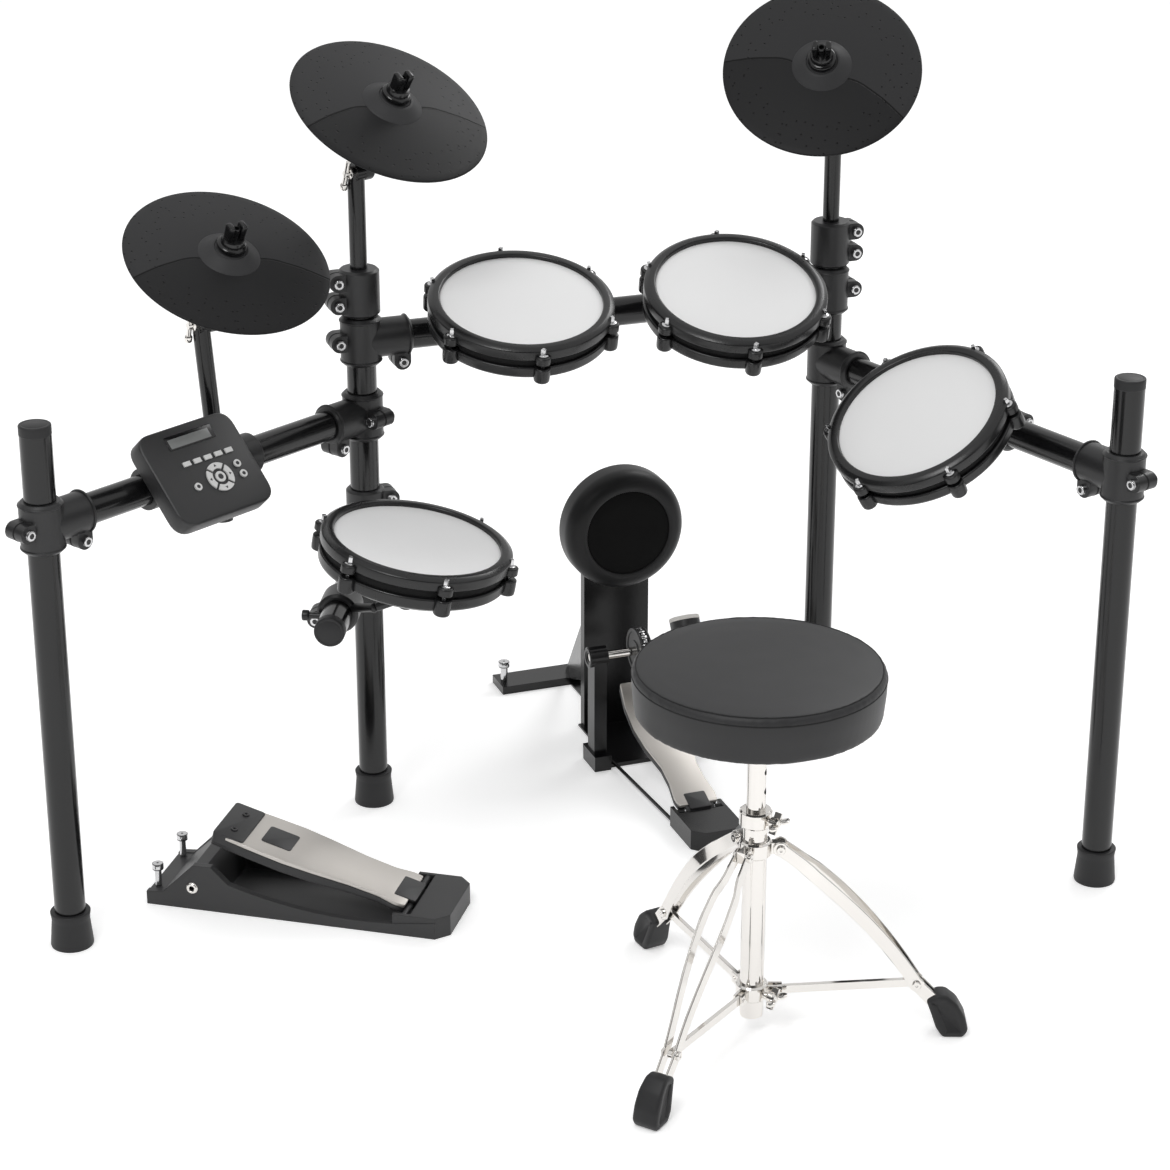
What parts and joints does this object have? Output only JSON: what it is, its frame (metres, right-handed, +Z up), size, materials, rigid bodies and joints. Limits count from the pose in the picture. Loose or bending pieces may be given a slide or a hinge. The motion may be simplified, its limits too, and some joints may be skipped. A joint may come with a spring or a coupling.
{
  "type": "electronic drum kit",
  "caption": "Compact electronic drum kit on a folding tube rack: mesh pads, rubber cymbal pads, sound module, kick tower and pedal, hi-hat controller pedal and a round tripod throne.",
  "frame": {"origin": "on the floor, under the middle of the whole kit's box", "axes": "+Z up, +X along the rear bar to the drummer's right, +Y away from the drummer"},
  "size_m": [1.3384, 1.2116, 1.0509],
  "materials": {
    "powder_coat_black": "gloss black powder coat on round steel tube",
    "moulded_black": "satin black moulded plastic",
    "rubber_black": "matte black moulded rubber",
    "mesh_white": "pale woven mesh drum head",
    "module_grey": "dark grey textured plastic",
    "display_grey": "grey display window",
    "key_grey": "light grey rubber keys",
    "steel_black": "satin black painted steel",
    "chrome": "bright chrome plate",
    "felt_pale": "pale pressed felt beater",
    "silver_aluminium": "satin silver cast aluminium",
    "spring_steel": "bright drawn spring wire",
    "vinyl_black": "black vinyl over foam"
  },
  "bodies": {
    "rack": {"left_rear_post": "powder_coat_black", "right_rear_post": "powder_coat_black", "rear_bar": "powder_coat_black", "rear_fittings": "moulded_black", "kick_tower": "steel_black", "kick_pad": "rubber_black", "kick_pedal_frame": "steel_black", "kick_spring": "spring_steel", "hihat_base": "moulded_black"},
    "left_wing": {"left_side_tube": "powder_coat_black", "left_front_post": "powder_coat_black", "left_fittings": "moulded_black"},
    "right_wing": {"right_side_tube": "powder_coat_black", "right_front_post": "powder_coat_black", "right_fittings": "moulded_black"},
    "snare_arm": {"snare_arm_tube": "powder_coat_black", "snare_arm_fittings": "moulded_black"},
    "tom_1": {"tom_1_shell": "moulded_black", "tom_1_hoop": "moulded_black", "tom_1_head": "mesh_white"},
    "tom_2": {"tom_2_shell": "moulded_black", "tom_2_hoop": "moulded_black", "tom_2_head": "mesh_white"},
    "tom_3": {"tom_3_shell": "moulded_black", "tom_3_hoop": "moulded_black", "tom_3_head": "mesh_white"},
    "snare": {"snare_shell": "moulded_black", "snare_hoop": "moulded_black", "snare_head": "mesh_white"},
    "hihat_mast": {"hihat_rod": "powder_coat_black"},
    "hihat_tilter": {"hihat_tilter": "steel_black"},
    "hihat_cymbal": {"hihat_cymbal": "rubber_black"},
    "crash_mast": {"crash_rod": "powder_coat_black"},
    "crash_tilter": {"crash_tilter": "steel_black"},
    "crash_cymbal": {"crash_cymbal": "rubber_black"},
    "ride_mast": {"ride_rod": "powder_coat_black"},
    "ride_tilter": {"ride_tilter": "steel_black"},
    "ride_cymbal": {"ride_cymbal": "rubber_black"},
    "module": {"module_case": "module_grey", "module_screen": "display_grey"},
    "function_key_1": {"function_key_1": "key_grey"},
    "function_key_2": {"function_key_2": "key_grey"},
    "function_key_3": {"function_key_3": "key_grey"},
    "function_key_4": {"function_key_4": "key_grey"},
    "function_key_5": {"function_key_5": "key_grey"},
    "ring_keys": {"ring_keys": "key_grey"},
    "kick_footboard": {"kick_footboard": "silver_aluminium"},
    "kick_axle": {"kick_axle": "chrome", "kick_beater": "felt_pale"},
    "hihat_footboard": {"hihat_footboard": "silver_aluminium"},
    "tripod": {"tripod_tube": "chrome"},
    "brace_collar": {"brace_collar": "chrome"},
    "seat_post": {"seat_post": "chrome"},
    "seat": {"seat_cushion": "vinyl_black"},
    "leg_1": {"leg_1": "chrome"},
    "brace_1": {"brace_1": "chrome"},
    "leg_2": {"leg_2": "chrome"},
    "brace_2": {"brace_2": "chrome"},
    "leg_3": {"leg_3": "chrome"},
    "brace_3": {"brace_3": "chrome"}
  },
  "joints": [
    {"name": "left_wing_swing", "type": "hinge", "parent": "rack", "child": "left_wing", "pos_m": [-0.16464, 0.29379, 0.552], "axis": [0, 0, 1], "range_deg": [-15, 15]},
    {"name": "right_wing_swing", "type": "hinge", "parent": "rack", "child": "right_wing", "pos_m": [0.48636, 0.29379, 0.552], "axis": [0, 0, 1], "range_deg": [-8, 15]},
    {"name": "snare_arm_swing", "type": "hinge", "parent": "rack", "child": "snare_arm", "pos_m": [-0.16464, 0.29379, 0.366], "axis": [0, 0, 1], "range_deg": [-10, 20]},
    {"name": "tom_1_tilt", "type": "hinge", "parent": "rack", "child": "tom_1", "pos_m": [0.02118, 0.21937, 0.63894], "axis": [0.9957, -0.0931, 0], "range_deg": [-3, 15]},
    {"name": "tom_2_tilt", "type": "hinge", "parent": "rack", "child": "tom_2", "pos_m": [0.3024, 0.19485, 0.63586], "axis": [0.9876, -0.1571, 0], "range_deg": [-6, 15]},
    {"name": "tom_3_tilt", "type": "hinge", "parent": "right_wing", "child": "tom_3", "pos_m": [0.4776, -0.06401, 0.53745], "axis": [0.3458, -0.9383, 0], "range_deg": [-10, 15]},
    {"name": "snare_tilt", "type": "hinge", "parent": "snare_arm", "child": "snare", "pos_m": [-0.18776, 0.03145, 0.40422], "axis": [0.4973, 0.8676, 0], "range_deg": [-10, 12]},
    {"name": "hihat_height", "type": "slide", "parent": "left_wing", "child": "hihat_mast", "axis": [-0.0568, 0.0608, 0.9965], "range_m": [-0.05, 0.05]},
    {"name": "hihat_tilt", "type": "hinge", "parent": "hihat_mast", "child": "hihat_tilter", "pos_m": [-0.38299, 0.23587, 0.71344], "axis": [0.9526, 0.3041, 0], "range_deg": [-15, 15]},
    {"name": "hihat_rock", "type": "hinge", "parent": "hihat_tilter", "child": "hihat_cymbal", "pos_m": [-0.35225, 0.18691, 0.81844], "axis": [0.9526, 0.3041, 0], "range_deg": [-5, 5], "stiffness_Nm_per_rad": 3},
    {"name": "crash_height", "type": "slide", "parent": "rack", "child": "crash_mast", "axis": [0, 0, 1], "range_m": [-0.05, 0.05]},
    {"name": "crash_tilt", "type": "hinge", "parent": "crash_mast", "child": "crash_tilter", "pos_m": [-0.16464, 0.29379, 0.87], "axis": [0.9149, 0.4036, 0], "range_deg": [-15, 15]},
    {"name": "crash_rock", "type": "hinge", "parent": "crash_tilter", "child": "crash_cymbal", "pos_m": [-0.12648, 0.24296, 0.97163], "axis": [0.9149, 0.4036, 0], "range_deg": [-5, 5], "stiffness_Nm_per_rad": 3},
    {"name": "ride_height", "type": "slide", "parent": "rack", "child": "ride_mast", "axis": [0, 0, 1], "range_m": [-0.05, 0.05]},
    {"name": "ride_tilt", "type": "hinge", "parent": "ride_mast", "child": "ride_tilter", "pos_m": [0.48636, 0.29379, 0.892], "axis": [0.8889, -0.458, 0], "range_deg": [-15, 15]},
    {"name": "ride_rock", "type": "hinge", "parent": "ride_tilter", "child": "ride_cymbal", "pos_m": [0.43538, 0.22628, 0.97693], "axis": [0.8889, -0.458, 0], "range_deg": [-5, 5], "stiffness_Nm_per_rad": 3},
    {"name": "module_tilt", "type": "hinge", "parent": "left_wing", "child": "module", "pos_m": [-0.43743, 0.14444, 0.552], "axis": [-0.8771, -0.4802, 0], "range_deg": [-20, 20]},
    {"name": "function_key_1_press", "type": "slide", "parent": "module", "child": "function_key_1", "axis": [0.3512, -0.6415, 0.682], "range_m": [-0.0015, 0], "stiffness_N_per_m": 250},
    {"name": "function_key_2_press", "type": "slide", "parent": "module", "child": "function_key_2", "axis": [0.3512, -0.6415, 0.682], "range_m": [-0.0015, 0], "stiffness_N_per_m": 250},
    {"name": "function_key_3_press", "type": "slide", "parent": "module", "child": "function_key_3", "axis": [0.3512, -0.6415, 0.682], "range_m": [-0.0015, 0], "stiffness_N_per_m": 250},
    {"name": "function_key_4_press", "type": "slide", "parent": "module", "child": "function_key_4", "axis": [0.3512, -0.6415, 0.682], "range_m": [-0.0015, 0], "stiffness_N_per_m": 250},
    {"name": "function_key_5_press", "type": "slide", "parent": "module", "child": "function_key_5", "axis": [0.3512, -0.6415, 0.682], "range_m": [-0.0015, 0], "stiffness_N_per_m": 250},
    {"name": "ring_keys_press", "type": "slide", "parent": "module", "child": "ring_keys", "axis": [0.3512, -0.6415, 0.682], "range_m": [-0.0015, 0], "stiffness_N_per_m": 250},
    {"name": "kick_footboard_press", "type": "hinge", "parent": "rack", "child": "kick_footboard", "pos_m": [0.21886, 0.07179, 0.024], "axis": [-1, 0, 0], "range_deg": [0, 14], "stiffness_Nm_per_rad": 6, "springref_deg": -17.19},
    {"name": "kick_axle_turn", "type": "hinge", "parent": "rack", "child": "kick_axle", "pos_m": [0.21886, 0.29379, 0.163], "axis": [-1, 0, 0], "range_deg": [0, 75.2], "deforming": ["kick_spring"]},
    {"name": "hihat_footboard_press", "type": "hinge", "parent": "rack", "child": "hihat_footboard", "pos_m": [-0.2055, -0.03164, 0.023], "axis": [-0.565, -0.8251, 0], "range_deg": [0, 7.5], "stiffness_Nm_per_rad": 8, "springref_deg": -17.19},
    {"name": "throne_rise", "type": "slide", "parent": "rack", "child": "tripod", "axis": [0, 0, 1], "range_m": [0, 0.08443]},
    {"name": "seat_height", "type": "slide", "parent": "tripod", "child": "seat_post", "axis": [0, 0, 1], "range_m": [-0.05, 0.1]},
    {"name": "seat_swivel", "type": "hinge", "parent": "seat_post", "child": "seat", "pos_m": [0.07886, -0.43521, 0.407], "axis": [0, 0, 1], "continuous": true},
    {"name": "brace_collar_slide", "type": "slide", "parent": "tripod", "child": "brace_collar", "axis": [0, 0, 1], "range_m": [0, 0.10796]},
    {"name": "throne_fold", "type": "hinge", "parent": "tripod", "child": "leg_1", "pos_m": [0.10593, -0.4456, 0.24], "axis": [0.3584, 0.9336, 0], "range_deg": [0, 35]},
    {"name": "brace_1_turn", "type": "hinge", "parent": "brace_collar", "child": "brace_1", "pos_m": [0.10687, -0.44596, 0.055], "axis": [0.3584, 0.9336, 0], "range_deg": [0, 83.06]},
    {"name": "leg_2_fold", "type": "hinge", "parent": "tripod", "child": "leg_2", "pos_m": [0.07432, -0.40657, 0.24], "axis": [-0.9877, -0.1564, 0], "range_deg": [0, 35.2]},
    {"name": "brace_2_turn", "type": "hinge", "parent": "brace_collar", "child": "brace_2", "pos_m": [0.07417, -0.40558, 0.055], "axis": [-0.9877, -0.1564, 0], "range_deg": [0, 83.06]},
    {"name": "leg_3_fold", "type": "hinge", "parent": "tripod", "child": "leg_3", "pos_m": [0.05632, -0.45346, 0.24], "axis": [0.6293, -0.7771, 0], "range_deg": [0, 35.2]},
    {"name": "brace_3_turn", "type": "hinge", "parent": "brace_collar", "child": "brace_3", "pos_m": [0.05555, -0.45409, 0.055], "axis": [0.6293, -0.7771, 0], "range_deg": [0, 83.06]}
  ],
  "couplings": [
    {"joint": "kick_axle_turn", "follows": "kick_footboard_press", "ratio": 5.3571},
    {"joint": "throne_rise", "follows": "throne_fold", "m_per_rad": 0.1374},
    {"joint": "brace_collar_slide", "follows": "throne_fold", "m_per_rad": 0.17591},
    {"joint": "brace_1_turn", "follows": "throne_fold", "ratio": 2.3645},
    {"joint": "leg_2_fold", "follows": "throne_fold", "ratio": 1},
    {"joint": "brace_2_turn", "follows": "throne_fold", "ratio": 2.3645},
    {"joint": "leg_3_fold", "follows": "throne_fold", "ratio": 1},
    {"joint": "brace_3_turn", "follows": "throne_fold", "ratio": 2.3645}
  ]
}
